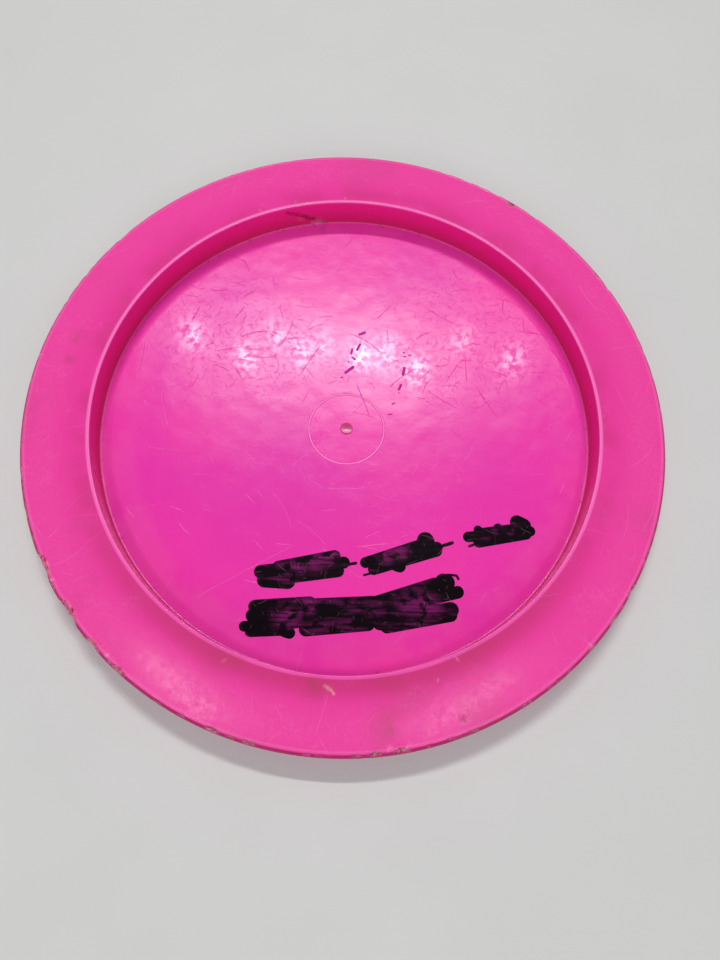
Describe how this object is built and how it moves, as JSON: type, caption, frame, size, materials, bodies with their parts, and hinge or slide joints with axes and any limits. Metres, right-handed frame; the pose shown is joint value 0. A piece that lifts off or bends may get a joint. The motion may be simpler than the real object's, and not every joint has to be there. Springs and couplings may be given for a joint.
{
  "type": "flying disc",
  "caption": "Golf flying disc with a thin domed plate and a wide solid rim that narrows to a blunt nose, lying with its hollow upwards, with marker ink on the plate.",
  "frame": {"origin": "on the spin axis, at the middle of the crown, the lowest point of the disc as it lies upside down", "axes": "+Z along the spin axis, out of the open underside; +X and +Y lie in the plane of the disc, with the marker ink on the -Y side"},
  "size_m": [0.211, 0.211, 0.0154],
  "materials": {
    "disc_plastic": "satin moulded plastic, used, with scuffs and fine scratches",
    "marker_ink": "dried permanent marker, streaky, purple where thin",
    "worn_ink": "worn remains of marker ink"
  },
  "bodies": {
    "root": {"disc_moulding": "disc_plastic", "marker_blot_left": "marker_ink", "marker_blot_middle": "marker_ink", "marker_blot_right": "marker_ink", "marker_blot_lower": "marker_ink", "worn_ink_specks": "worn_ink"}
  },
  "joints": []
}
